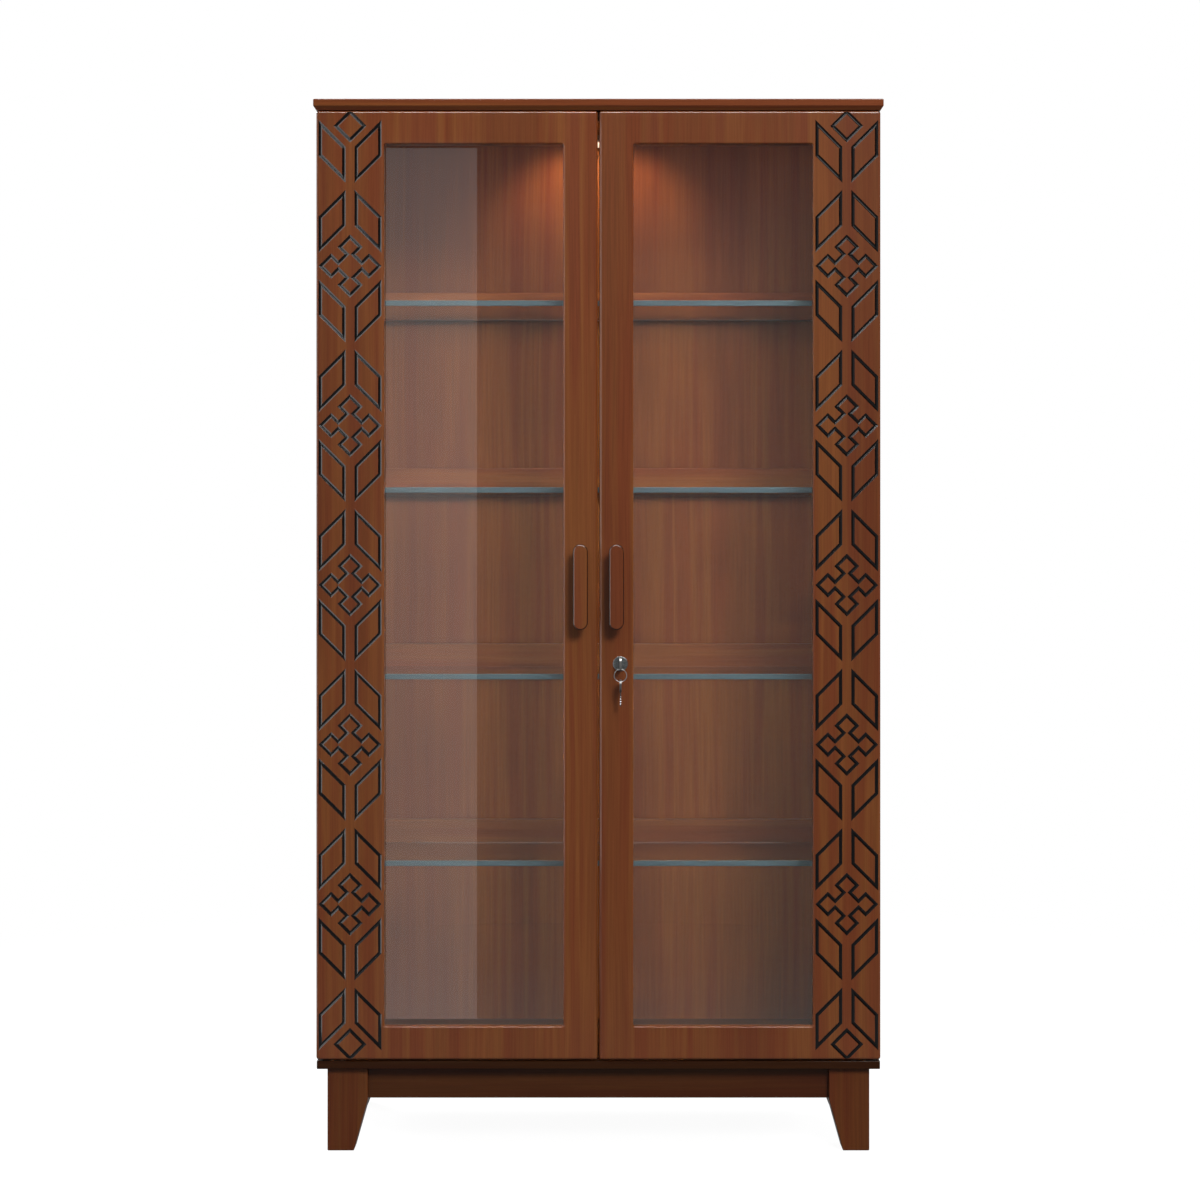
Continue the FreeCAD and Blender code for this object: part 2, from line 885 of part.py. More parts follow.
def lattice_outlines():
    x = (door_outer_x + outer_stile_x) / 2
    middle = (door_bottom + door_top) / 2
    pitch = (door_top - door_bottom + lattice_end_overrun + lattice_end_overrun) / (flower_count + 1)
    leaf = leaf_outline(pitch)
    outlines = []
    for number in range(flower_count + 2):
        z = middle + (number - (flower_count + 1) / 2) * pitch
        is_bottom_end = number == 0
        is_top_end = number == flower_count + 1
        for flip_across in (False, True):
            if not is_top_end:
                outlines.append(placed(leaf, x, z, flip_across, False))
            if not is_bottom_end:
                outlines.append(placed(leaf, x, z, flip_across, True))
        if not is_bottom_end and not is_top_end:
            outlines.append(placed(flower_outline(), x, z))
    end_room = outer_stile_width * end_diamond_share + end_diamond_inset
    for z in (door_bottom + end_room, door_top - end_room):
        outlines.append(placed(diamond_outline(), x, z))
    return outlines


def lattice_cutters():
    return [groove_cutter(outline) for outline in lattice_outlines()]


# Handles

def handle_screw_starts():
    lift = handle_length / 2 - handle_post_inset
    return [Vector(handle_x, door_back, handle_center_height + side * lift) for side in (1, -1)]


def handle_parts():
    """The right-hand bar on two round posts, its screws, and the screws' holes."""
    front = door_front - handle_reach
    radius = handle_width / 2
    straight = handle_length / 2 - radius
    low = handle_center_height - straight
    high = handle_center_height + straight
    bar = box(handle_x - radius, handle_x + radius, front, front + handle_thickness, low, high)
    ends = [rod(radius, handle_thickness, Vector(handle_x, front, z), BACK) for z in (low, high)]
    bar = merged(bar, ends)
    bar = rounded(bar, handle_edge_radius, lambda edge: not edge_runs_along(edge, BACK))
    posts = []
    screws = []
    holes = []
    length = door_thickness + handle_screw_bite
    for start in handle_screw_starts():
        post_length = handle_standoff + handle_thickness / 2
        posts.append(rod(handle_post_radius, post_length, start + FRONT * door_thickness, FRONT))
        screws.append(wood_screw(length, start, FRONT))
        holes.append(wood_screw(length, start, FRONT, fit_clearance))
    handle = cut_away(merged(bar, posts), holes)
    return handle, screws, holes


# Lock

def lock_point(y):
    return Vector(lock_x, y, lock_center_height)


def lock_parts():
    front = door_front - lock_rosette_thickness
    body_end = door_back + lock_nut_thickness
    cam_front = body_end + rest_clearance
    rosette = rod(lock_rosette_radius, lock_rosette_thickness, lock_point(front), BACK)
    near_front = front + lock_rosette_thickness / 2
    rosette = rounded(
        rosette,
        lock_rosette_edge_radius,
        lambda edge: edge.Closed and edge.CenterOfMass.y < near_front,
    )
    barrel = rod(lock_body_radius, body_end - door_front, lock_point(door_front), BACK)
    bore = rod(plug_radius + running_clearance, body_end - front, lock_point(front), BACK)
    body = cut_away(merged(rosette, [barrel]), [bore])
    hole = rod(lock_body_radius + fit_clearance, door_thickness, lock_point(door_front), BACK)

    corners = []
    for sixth in range(6):
        angle = math.radians(360 / 6 * sixth)
        out = Vector(math.cos(angle), 0, math.sin(angle)) * lock_nut_radius
        corners.append(lock_point(door_back) + out)
    nut = polygon_face(corners).extrude(BACK * lock_nut_thickness)
    nut_hole = rod(lock_body_radius + fit_clearance, lock_nut_thickness, lock_point(door_back), BACK)
    nut = cut_away(nut, [nut_hole])

    plug_front = front + plug_recess
    neck_length = cam_front + cam_thickness - plug_front
    plug = rod(plug_radius, cam_front - plug_front, lock_point(plug_front), BACK)
    neck = rod(plug_neck_radius, neck_length, lock_point(plug_front), BACK)
    tail = rod(plug_radius, plug_tail_length, lock_point(cam_front + cam_thickness), BACK)
    half_thick = key_blade_thickness / 2 + keyway_clearance
    half_wide = key_blade_width / 2 + keyway_clearance
    keyway = box(
        lock_x - half_thick,
        lock_x + half_thick,
        plug_front - cut_overrun,
        key_end_y() + key_bow_length + key_blade_length + keyway_clearance,
        lock_center_height - half_wide,
        lock_center_height + half_wide,
    )
    plug = cut_away(merged(plug, [neck, tail]), [keyway])

    cam = rod(cam_width / 2, cam_thickness, lock_point(cam_front), BACK)
    arm = box(
        lock_x - cam_width / 2,
        lock_x + cam_width / 2,
        cam_front,
        cam_front + cam_thickness,
        lock_center_height - cam_length,
        lock_center_height,
    )
    cam_hole = rod(plug_neck_radius + fit_clearance, cam_thickness, lock_point(cam_front), BACK)
    cam = cut_away(merged(cam, [arm]), [cam_hole])
    return {"lock_body": body, "lock_nut": nut, "lock_plug": plug, "lock_cam": cam}, hole


# Keys: the long axis is +Y from the bow's end, the width is along Z and the thickness along X

def key_end_y():
    """Where the bow of the inserted key ends, in front of the lock."""
    return door_front - lock_rosette_thickness - key_shoulder_gap - key_bow_length


def key():
    half_thick = key_bow_thickness / 2
    half_wide = key_bow_width / 2
    bow = box(-half_thick, half_thick, 0, key_bow_length, -half_wide, half_wide)
    bow = rounded_along(bow, key_bow_corner_radius, RIGHT)
    slot_y = key_slot_end_wall + key_slot_width / 2
    slot_radius = key_slot_width / 2
    straight = key_slot_length / 2 - slot_radius
    slot_low = slot_y - slot_radius
    slot = box(-half_thick, half_thick, slot_low, slot_low + key_slot_width, -straight, straight)
    slot_ends = []
    for z in (-straight, straight):
        slot_ends.append(rod(slot_radius, key_bow_thickness, Vector(-half_thick, slot_y, z), RIGHT))
    bow = cut_away(bow, [slot] + slot_ends)

    half_blade = key_blade_width / 2
    tip = key_bow_length + key_blade_length
    outline = [(key_bow_length, -half_blade), (key_bow_length, half_blade)]
    outline += [(tip - half_blade, half_blade), (tip, 0), (tip - half_blade, -half_blade)]
    tooth_pitch = key_blade_length * key_tooth_span_share / key_tooth_count
    for tooth in range(key_tooth_count):
        start = tip - half_blade - tooth * tooth_pitch
        outline.append((start - tooth_pitch / 2, -half_blade + key_tooth_depth))
        outline.append((start - tooth_pitch, -half_blade))
    corners = [Vector(-key_blade_thickness / 2, along, across) for along, across in outline]
    blade = polygon_face(corners).extrude(RIGHT * key_blade_thickness)
    return merged(bow, [blade])


def ring_center():
    wire_drop = key_slot_length / 2 - ring_wire_radius - rest_clearance
    y = key_end_y() + key_slot_end_wall + key_slot_width / 2
    return Vector(lock_x, y, lock_center_height - wire_drop - ring_radius)


def key_parts():
    inserted = key()
    inserted.translate(lock_point(key_end_y()))
    ring = Part.makeTorus(ring_radius, ring_wire_radius, ring_center(), BACK)
    spare = key()
    spare.rotate(Vector(0, 0, 0), RIGHT, -90)
    lift = ring_wire_radius + rest_clearance + key_slot_end_wall - ring_radius
    spare.translate(ring_center() + UP * lift)
    return {"key": inserted, "key_ring": ring, "spare_key": spare}


def keeper_plate():
    """Plate on the back of the left door that the turned cam pulls against."""
    x_high = -door_inner_x - keeper_edge_inset
    x_low = x_high - keeper_width
    low = lock_center_height - keeper_height / 2
    return box(x_low, x_high, door_back, door_back + keeper_thickness, low, low + keeper_height)


def catch_strike():
    x_low = door_inner_x + strike_edge_inset
    low = carcass_top - catch_height
    return box(x_low, x_low + strike_width, door_back, door_back + strike_thickness, low, low + strike_height)


# Bolt on the back of the left door's inner stile, and its hole in the bottom board

def bolt_parts():
    x = -handle_x
    y = door_back + bolt_case_depth / 2
    low = door_bottom + bolt_case_lift
    high = low + bolt_case_height
    half_width_of_case = bolt_case_width / 2
    case_back = door_back + bolt_case_depth
    case = box(x - half_width_of_case, x + half_width_of_case, door_back, case_back, low, high)
    case = rounded_along(case, board_edge_radius, BACK)
    bore = rod(bolt_radius + running_clearance, bolt_case_height, Vector(x, y, low), UP)
    middle = (low + high) / 2
    half_slot = bolt_travel / 2 + bolt_knob_radius + bolt_knob_clearance
    half_slot_width = bolt_knob_radius + bolt_knob_clearance
    slot = box(
        x - half_slot_width,
        x + half_slot_width,
        y,
        case_back + cut_overrun,
        middle - half_slot,
        middle + half_slot,
    )
    case = cut_away(case, [bore, slot])
    bolt_end = door_bottom + bolt_end_lift
    bolt = rod(bolt_radius, high - bolt_end, Vector(x, y, bolt_end), UP)
    knob_start = Vector(x, y, middle + bolt_travel / 2)
    knob = rod(bolt_knob_radius, bolt_case_depth / 2 + bolt_knob_reach, knob_start, BACK)
    hole_depth = carcass_bottom - bolt_end + bolt_travel + bolt_hole_spare
    hole = rod(bolt_radius + bolt_hole_clearance, hole_depth, Vector(x, y, carcass_bottom), DOWN)
    return case, merged(bolt, [knob]), hole


# Assembly

def door_nodes():
    handle, handle_screws, handle_holes = handle_parts()
    lock, lock_hole = lock_parts()
    low_bush, low_bush_hole = bush_parts(False)
    high_bush, high_bush_hole = bush_parts(True)
    frame = door_frame_parts()
    bush_holes = [low_bush_hole, high_bush_hole]
    frame["outer_stile"] = cut_away(frame["outer_stile"], bush_holes + lattice_cutters())
    frame["inner_stile"] = cut_away(frame["inner_stile"], handle_holes)
    common = {name: [shape] for name, shape in frame.items()}
    common["door_glass"] = [door_pane()]
    common["glass_beads"] = glass_beads()
    common["pivot_bushes"] = [low_bush, high_bush]
    common["handle"] = [handle]
    common["handle_screws"] = handle_screws
    common["catch_strike"] = [catch_strike()]
    nodes = {}
    for name, solids in common.items():
        nodes["right_" + name] = solids
        nodes["left_" + name] = [mirrored(solid) for solid in solids]
    nodes["right_inner_stile"] = [cut_away(common["inner_stile"][0], [lock_hole])]
    for name, shape in {**lock, **key_parts()}.items():
        nodes[name] = [shape]
    nodes["lock_keeper"] = [keeper_plate()]
    return nodes


def carcass_nodes(bolt_hole):
    base, cleat_holes = base_frame()
    catch, catch_screws, catch_holes = catch_parts()
    low_plate, low_screws, low_recess = pivot_parts(False)
    high_plate, high_screws, high_recess = pivot_parts(True)
    housing, lens = light_parts()
    dowel_holes = dowels(fit_clearance)
    low_recesses = low_recess + [mirrored(shape) for shape in low_recess]
    high_recesses = high_recess + [mirrored(shape) for shape in high_recess]
    plate_screws = low_screws + high_screws
    panel = side_panel(dowel_holes + shelf_pins(fit_clearance))
    right_pins = shelf_pins()
    nodes = dict(base)
    nodes["top_board"] = [top_board(dowel_holes + high_recesses + catch_holes)]
    nodes["bottom_board"] = [bottom_board(dowel_holes + low_recesses + cleat_holes + [bolt_hole])]
    nodes["right_side_panel"] = [panel]
    nodes["left_side_panel"] = [mirrored(panel)]
    nodes["back_panel"] = [back_panel()]
    for index in range(1, shelf_count + 1):
        nodes["glass_shelf_" + str(index)] = [glass_shelf(index)]
        nodes["back_rail_" + str(index)] = [back_rail(index)]
    nodes["shelf_pins"] = right_pins + [mirrored(pin) for pin in right_pins]
    nodes["dowels"] = dowels()
    nodes["pivot_plates"] = both_sides(low_plate) + both_sides(high_plate)
    nodes["plate_screws"] = plate_screws + [mirrored(screw) for screw in plate_screws] + catch_screws
    nodes["magnetic_catch"] = [catch]
    nodes["light_housing"] = [housing]
    nodes["light_lens"] = [lens]
    return nodes


def write_nodes(nodes):
    os.makedirs("parts", exist_ok=True)
    for name, shapes in nodes.items():
        solids = [solid for shape in shapes for solid in shape.Solids]
        whole = solids[0] if len(solids) == 1 else Part.makeCompound(solids)
        if not whole.isValid():
            raise ValueError(name + " is not a valid solid")
        whole.exportStep("parts/" + name + ".step")
        print(name, len(solids), round(whole.Volume))
    print(len(nodes), "nodes")


def main():
    case, bolt, bolt_hole = bolt_parts()
    nodes = carcass_nodes(bolt_hole)
    nodes.update(door_nodes())
    nodes["bolt_case"] = [case]
    nodes["bolt"] = [bolt]
    write_nodes(nodes)


main()
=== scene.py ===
# Looks for a glazed book cabinet: lacquered wood with a soft upright figure, black carved
# grooves, clear panes and shelves, a warm lamp inside, and plain studio light.
# Metres. X runs left to right, the doors face -Y and +Z is up.

import math

import bpy
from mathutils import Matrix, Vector


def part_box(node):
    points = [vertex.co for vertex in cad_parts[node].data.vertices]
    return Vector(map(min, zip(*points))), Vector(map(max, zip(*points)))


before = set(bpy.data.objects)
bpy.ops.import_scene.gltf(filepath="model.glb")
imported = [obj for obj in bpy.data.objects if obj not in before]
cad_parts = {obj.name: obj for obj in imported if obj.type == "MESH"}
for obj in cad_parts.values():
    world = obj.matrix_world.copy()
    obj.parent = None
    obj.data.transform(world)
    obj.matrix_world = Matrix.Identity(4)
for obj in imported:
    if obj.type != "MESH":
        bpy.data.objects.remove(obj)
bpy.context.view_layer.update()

# Photograph and camera
image_size = 1200
sensor_millimetres = 36.0
camera_distance = 3.95
camera_height = 1.0757
focal_pixels = 2230.0
middle_pixel_x = 598.4
horizon_pixel_y = 546.45

# Pale rectangle mirrored in the left pane, in the photograph's pixels
mirrored_left = 386.0
mirrored_right = 477.0
mirrored_top = 148.0
mirrored_bottom = 1019.0
card_distance = 1.05
card_radiance = 0.64
card_color = (0.95, 1.0, 1.0)

# Lamps that light the cabinet
key_place = (2.5, -6.6, 5.3)
key_size = 2.4
key_power = 445.0
key_color = (1.0, 0.985, 0.965)
over_place = (-0.2, -1.0, 3.3)
over_width = 2.4
over_depth = 1.0
over_power = 17.0
rear_place = (-1.6, 3.0, 3.4)
rear_size = 1.6
rear_power = 170.0
flank_aside = 3.4
flank_back = 0.7
flank_height = 2.3
flank_size = 1.6
flank_power = 75.0
lamp_target = (0.0, 0.0, 1.0)

# Lamps that show only in reflections, as light lines on rounded edges
side_place = (-1.15, -0.42, 1.36)
side_width = 0.3
side_height = 2.6
side_power = 8.5
side_target = (-0.4, -0.18, 1.36)
edge_place = (-2.2, -2.9, 1.1)
edge_width = 1.5
edge_height = 2.8
edge_power = 80.0
edge_target = (0.0, -0.2, 1.1)
strip_place = (0.0, -1.45, 3.2)
strip_width = 1.8
strip_depth = 0.3
strip_power = 85.0

# Light from all round: for surfaces, and for reflections, which are brighter towards the left
ambient_level = 0.36
gloss_level = 0.2
high_gloss_level = 0.05
high_gloss_start = 0.12
high_gloss_end = 0.22
left_gloss_gain = 0.3
right_gloss_loss = 0.14
side_gloss_start = 0.25
side_gloss_end = 0.8

# Warm lamp under the top board: its beam, and its spread through the top bay
glow_color = (1.0, 0.74, 0.6)
glow_power = 4.1
glow_angle = 120.0
glow_blend = 0.6
glow_tilt = 46.0
glow_radius = 0.012
glow_drop = 0.004
glow_forward = 0.06
spread_color = (1.0, 0.7, 0.7)
spread_power = 0.86
spread_width = 0.86
spread_depth = 0.16
spread_drop = 0.012
spread_reach = 0.3

# Floor: white, with a soft shadow near the object
floor_reach = 30.0
floor_near = 0.7
floor_far = 2.6
floor_near_glow = 0.955
floor_near_color = 0.1

# Wood figure
streak_width = 0.034
streak_length = 1.3
band_width = 0.11
band_length = 2.6
fibre_width = 0.0022
fibre_length = 0.16
pore_width = 0.0007
pore_length = 0.012
pore_relief = 0.0002
pore_bump = 0.12
wander_size = 0.5
wander_reach = 0.012
board_shift = 3.7
streak_detail = 2.5
fibre_detail = 3.0
plain_detail = 1.0

# Most of a noise lies between these two of its levels
noise_low = 0.3
noise_high = 0.7

# Levels of its noise between which a wood mark comes or goes, and what it does to the colour
band_start = 0.45
band_end = 0.66
band_strength = 0.55
fibre_dark = 0.88
fibre_bright = 1.08
pore_start = 0.25
pore_end = 0.36
pore_dark = 0.84

# Lacquer, and how strongly it shines on each part of the cabinet
lacquer_smooth = 0.32
lacquer_rough = 0.4
groove_polish = 0.1
coat_roughness = 0.08
coat_per_shine = 4.0
specular_per_shine = 0.4
door_shine = 0.14
top_shine = 0.06
bottom_shine = 0.05
inner_shine = 0.1
base_shine = 0.07

# How much darker the base's wood is painted than that of the doors, as painted shade under the cabinet
leg_shade_tone = 0.69
apron_shade_tone = 0.48

# Painted shade on the rim of the handles, where their edge turns away from the front
rim_start_facing = 0.75
rim_end_facing = 0.97

# Carved grooves on the outer stiles
door_edge_radius = 0.0045
groove_start_depth = 0.0002
groove_end_depth = 0.0022

# Glass
shelf_edge_depth = 0.0012
shelf_edge_roughness = 0.25
shelf_edge_frosting = 0.82
smudge_size = 0.11
smudge_detail = 3.0
smudged_share = 0.97
shelf_index = 1.45
pane_index = 1.7

# Metals
scratch_width = 0.0003
scratch_length = 0.008
scratch_relief = 0.00005
scratch_bump = 0.1
scratch_smooth_share = 0.8
scratch_rough_share = 1.2
metal_cloud_size = 0.008
metal_dull_share = 0.85

# Moulded plastics, and the lamp's lens
plastic_grain_size = 0.0006
plastic_cloud_size = 0.016
plastic_relief = 0.00005
plastic_bump = 0.2
plastic_dull_share = 0.9
prism_spacing = 0.0018
prism_relief = 0.0003
prism_bump = 0.4
lens_roughness = 0.4
lens_middle_glow = 0.6
lens_rim_glow = 0.35

# Colours
WHITE = (1.0, 1.0, 1.0)
RED_WOOD = (0.167, 0.041, 0.0125)
BROWN_WOOD = (0.200, 0.064, 0.0165)
DEEP_WOOD = (0.124, 0.030, 0.010)
GROOVE_BLACK = (0.005, 0.004, 0.004)
# Colour of the painted shade on the handles' rim
RIM_SHADE_BROWN = (0.014, 0.006, 0.003)
PANE_TINT = (0.97, 0.985, 0.98)
SHELF_TINT = (0.94, 0.975, 0.97)
SHELF_EDGE = (0.052, 0.088, 0.105)
LENS_WHITE = (0.9, 0.88, 0.84)
LENS_LIGHT = (1.0, 0.72, 0.45)
ZINC = (0.5, 0.5, 0.49)
DARK_STEEL = (0.07, 0.06, 0.055)
BRUSHED_NICKEL = (0.23, 0.245, 0.245)
KEY_NICKEL = (0.3, 0.29, 0.28)
SPARE_KEY_NICKEL = (0.14, 0.135, 0.13)
HOUSING_GRAY = (0.6, 0.59, 0.56)
NYLON_BLACK = (0.035, 0.03, 0.028)
CATCH_BROWN = (0.09, 0.045, 0.03)

# Levels of the streaks' noise, and the colour at each
STREAK_STOPS = ((0.36, RED_WOOD), (0.5, BROWN_WOOD), (0.62, RED_WOOD))

GRAIN_X = (1, 0, 0)
GRAIN_Y = (0, 1, 0)
GRAIN_Z = (0, 0, 1)

left_stile_low, left_stile_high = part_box("left_outer_stile")
left_glass_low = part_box("left_door_glass")[0]
shelf_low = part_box("glass_shelf_1")[0]
lens_low, lens_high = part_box("light_lens")
lens_middle = (lens_low + lens_high) / 2
door_front = left_stile_low.y


# Node helpers

# Places of a Mix node's sockets, because each kind of value has an A, a B and a Result there
MIX_NUMBER_A = 2
MIX_NUMBER_B = 3
MIX_COLOR_A = 6
MIX_COLOR_B = 7
MIX_COLOR_RESULT = 2


class Graph:
    """Adds nodes to one tree and joins them, so that a material reads as a list of steps."""

    def __init__(self, tree):
        self.tree = tree

    def node(self, kind, inputs=None, **settings):
        made = self.tree.nodes.new(kind)
        for name, value in settings.items():
            setattr(made, name, value)
        for key, value in (inputs or {}).items():
            self.feed(made.inputs[key], value)
        return made

    def feed(self, socket, value):
        if isinstance(value, bpy.types.NodeSocket):
            self.tree.links.new(value, socket)
        elif isinstance(value, tuple) and len(socket.default_value) > len(value):
            socket.default_value = (*value, 1.0)
        else:
            socket.default_value = value

    def math(self, operation, *values):
        made = self.node("ShaderNodeMath", dict(enumerate(values)), operation=operation)
        return made.outputs[0]

    def vector_math(self, operation, *values):
        return self.node("ShaderNodeVectorMath", dict(enumerate(values)), operation=operation).outputs

    def axes(self, vector):
        return self.node("ShaderNodeSeparateXYZ", {0: vector}).outputs

    def gray(self, level):
        return self.node("ShaderNodeCombineColor", {0: level, 1: level, 2: level}).outputs[0]

    def noise(self, place, size, detail=2.0):
        inputs = {"Vector": place, "Scale": 1 / size, "Detail": detail}
        return self.node("ShaderNodeTexNoise", inputs).outputs

    def ramp(self, factor, stops):
        made = self.node("ShaderNodeValToRGB", {"Fac": factor})
        elements = made.color_ramp.elements
        while len(elements) < len(stops):
            elements.new(1.0)
        for element, (place, color) in zip(elements, stops):
            element.position = place
            element.color = (*color, 1.0)
        return made.outputs["Color"]

    def fade(self, value, start, end, low=0.0, high=1.0):
        ends = {"Value": value, "From Min": start, "From Max": end, "To Min": low, "To Max": high}
        made = self.node("ShaderNodeMapRange", ends, interpolation_type="SMOOTHSTEP")
        return made.outputs[0]

    def mix(self, factor, first, second, blend="MIX"):
        inputs = {0: factor, MIX_COLOR_A: first, MIX_COLOR_B: second}
        made = self.node("ShaderNodeMix", inputs, data_type="RGBA", blend_type=blend)
        return made.outputs[MIX_COLOR_RESULT]

    def choose(self, factor, first, second):
        """The first number where the factor is 0, and the second where it is 1."""
        inputs = {0: factor, MIX_NUMBER_A: first, MIX_NUMBER_B: second}
        return self.node("ShaderNodeMix", inputs).outputs[0]

    def shaded(self, color, level):
        return self.mix(1.0, color, self.gray(level), "MULTIPLY")

    def bump(self, height, strength, relief):
        inputs = {"Strength": strength, "Distance": relief, "Height": height}
        return self.node("ShaderNodeBump", inputs).outputs[0]


def new_material(name):
    material = bpy.data.materials.new(name)
    material.use_nodes = True
    graph = Graph(material.node_tree)
    shader = material.node_tree.nodes["Principled BSDF"]
    return material, graph, shader


def object_place(graph):
    return graph.node("ShaderNodeTexCoord").outputs["Object"]


def stretched_noise(graph, place, grain, width, length, detail=2.0):
    """Noise whose marks are as wide across the grain, and as long along it, as given."""
    scale = [1 / (length if along else width) for along in grain]
    stretched = graph.node("ShaderNodeMapping", {"Vector": place, "Scale": scale}).outputs[0]
    return graph.noise(stretched, 1.0, detail)["Fac"]


# Wood

def wood_figure(graph, grain, shift):
    """Streaks, broad bands, fibres and pores of one board, cut from the log at its own shift."""
    place = object_place(graph)
    cut = graph.node("ShaderNodeMapping", {"Vector": place, "Location": shift}).outputs[0]
    wander = graph.noise(cut, wander_size, plain_detail)["Color"]
    bent = graph.vector_math("MULTIPLY_ADD", wander, (wander_reach,) * 3, cut)[0]
    streak = stretched_noise(graph, bent, grain, streak_width, streak_length, streak_detail)
    band = stretched_noise(graph, bent, grain, band_width, band_length, plain_detail)
    fibre = stretched_noise(graph, bent, grain, fibre_width, fibre_length, fibre_detail)
    pore = stretched_noise(graph, cut, grain, pore_width, pore_length, plain_detail)
    return streak, band, fibre, pore


def wood(name, grain, shift, tone=1.0, shine=door_shine, carved=False, painted_rim_shade=False):
    """Lacquered wood, which may be black in carved grooves or carry painted shade on its rim."""
    material, graph, shader = new_material(name)
    streak, band, fibre, pore = wood_figure(graph, grain, shift)
    bands = graph.fade(band, band_start, band_end, 0.0, band_strength)
    color = graph.mix(bands, graph.ramp(streak, STREAK_STOPS), DEEP_WOOD)
    lines = graph.fade(fibre, noise_low, noise_high, fibre_dark, fibre_bright)
    pores = graph.fade(pore, pore_start, pore_end, pore_dark, 1.0)
    color = graph.shaded(color, graph.math("MULTIPLY", graph.math("MULTIPLY", lines, pores), tone))
    roughness = graph.fade(streak, noise_low, noise_high, lacquer_smooth, lacquer_rough)
    if carved:
        groove = groove_mask(graph)
        color = graph.mix(groove, color, GROOVE_BLACK)
        roughness = graph.math("MULTIPLY_ADD", groove, -groove_polish, roughness)
    # Painted shade: the handle's rim is darkened where it turns away from the front
    if painted_rim_shade:
        color = graph.mix(rim_shade_mask(graph), color, RIM_SHADE_BROWN)
    graph.feed(shader.inputs["Base Color"], color)
    graph.feed(shader.inputs["Roughness"], roughness)
    graph.feed(shader.inputs["Normal"], graph.bump(pores, pore_bump, pore_relief))
    shader.inputs["Specular IOR Level"].default_value = shine * specular_per_shine
    shader.inputs["Coat Weight"].default_value = shine * coat_per_shine
    shader.inputs["Coat Roughness"].default_value = coat_roughness
    return material


def rim_shade_mask(graph):
    """0 where a handle faces the front, and 1 where its surface has turned away and painted shade darkens
    it.
    """
    facing = graph.axes(graph.node("ShaderNodeTexCoord").outputs["Normal"])["Y"]
    return graph.fade(graph.math("ABSOLUTE", facing), rim_start_facing, rim_end_facing, 1.0, 0.0)


def rounding_depth(graph, inset):
    """How far a rounded edge has turned back, at this distance in from the door's side."""
    bare = graph.math("MAXIMUM", graph.math("SUBTRACT", door_edge_radius, inset), 0.0)
    square = graph.math("SUBTRACT", door_edge_radius ** 2, graph.math("MULTIPLY", bare, bare))
    return graph.math("SUBTRACT", door_edge_radius, graph.math("SQRT", graph.math("MAXIMUM", square, 0.0)))


def groove_mask(graph):
    """1 on the carved grooves: below the stile's flat face and its rounded edges."""
    axes = graph.axes(object_place(graph))
    middle = (left_stile_low + left_stile_high) / 2
    reach = (left_stile_high - left_stile_low) / 2
    off_x = graph.math("ABSOLUTE", graph.math("SUBTRACT", graph.math("ABSOLUTE", axes["X"]), -middle.x))
    off_z = graph.math("ABSOLUTE", graph.math("SUBTRACT", axes["Z"], middle.z))
    turned_x = rounding_depth(graph, graph.math("SUBTRACT", reach.x, off_x))
    turned_z = rounding_depth(graph, graph.math("SUBTRACT", reach.z, off_z))
    depth = graph.math("SUBTRACT", axes["Y"], door_front)
    below_face = graph.math("SUBTRACT", depth, graph.math("MAXIMUM", turned_x, turned_z))
    carved = graph.math("GREATER_THAN", below_face, groove_start_depth)
    return graph.math("MULTIPLY", carved, graph.math("LESS_THAN", depth, groove_end_depth))


# Glass

def clear_glass(name, tint, index, edge=False):
    """Clear glass that lets lamps through. An edge mask frosts the front of a shelf."""
    material, graph, shader = new_material(name)
    smudge = graph.noise(object_place(graph), smudge_size, smudge_detail)["Fac"]
    smudged = tuple(value * smudged_share for value in tint)
    color = graph.mix(graph.fade(smudge, noise_low, noise_high), smudged, tint)
    shader.inputs["Transmission Weight"].default_value = 1.0
    shader.inputs["Roughness"].default_value = 0.0
    if edge:
        front = shelf_front_mask(graph)
        color = graph.mix(front, color, SHELF_EDGE)
        clearness = graph.math("MULTIPLY_ADD", front, -shelf_edge_frosting, 1.0)
        graph.feed(shader.inputs["Roughness"], graph.math("MULTIPLY", front, shelf_edge_roughness))
        graph.feed(shader.inputs["Transmission Weight"], clearness)
    graph.feed(shader.inputs["Base Color"], color)
    shader.inputs["IOR"].default_value = index
    let_lamps_through(material, graph, shader, tint)
    return material


def shelf_front_mask(graph):
    """1 on the front faces of the glass shelves, and 0 behind them."""
    depth = graph.math("SUBTRACT", graph.axes(object_place(graph))["Y"], shelf_low.y)
    return graph.math("LESS_THAN", depth, shelf_edge_depth)


def let_lamps_through(material, graph, shader, tint):
    """Makes the glass open to shadow rays, so that what stands behind it is lit."""
    shadow_ray = graph.node("ShaderNodeLightPath").outputs["Is Shadow Ray"]
    opening = graph.node("ShaderNodeBsdfTransparent", {"Color": tint}).outputs[0]
    mixed = graph.node("ShaderNodeMixShader", {0: shadow_ray, 1: shader.outputs[0], 2: opening})
    graph.feed(material.node_tree.nodes["Material Output"].inputs["Surface"], mixed.outputs[0])


# Metals and plastics

def metal(name, color, roughness, scratch_axis=GRAIN_X):
    """Brushed metal: fine scratches along one axis vary its gloss."""
    material, graph, shader = new_material(name)
    place = object_place(graph)
    scratch = stretched_noise(graph, place, scratch_axis, scratch_width, scratch_length)
    cloud = graph.noise(place, metal_cloud_size)["Fac"]
    dulling = graph.fade(cloud, noise_low, noise_high, metal_dull_share, 1.0)
    smoothest = roughness * scratch_smooth_share
    roughest = roughness * scratch_rough_share
    brushed = graph.fade(scratch, noise_low, noise_high, smoothest, roughest)
    graph.feed(shader.inputs["Base Color"], graph.shaded(color, dulling))
    graph.feed(shader.inputs["Roughness"], brushed)
    graph.feed(shader.inputs["Normal"], graph.bump(scratch, scratch_bump, scratch_relief))
    shader.inputs["Metallic"].default_value = 1.0
    return material


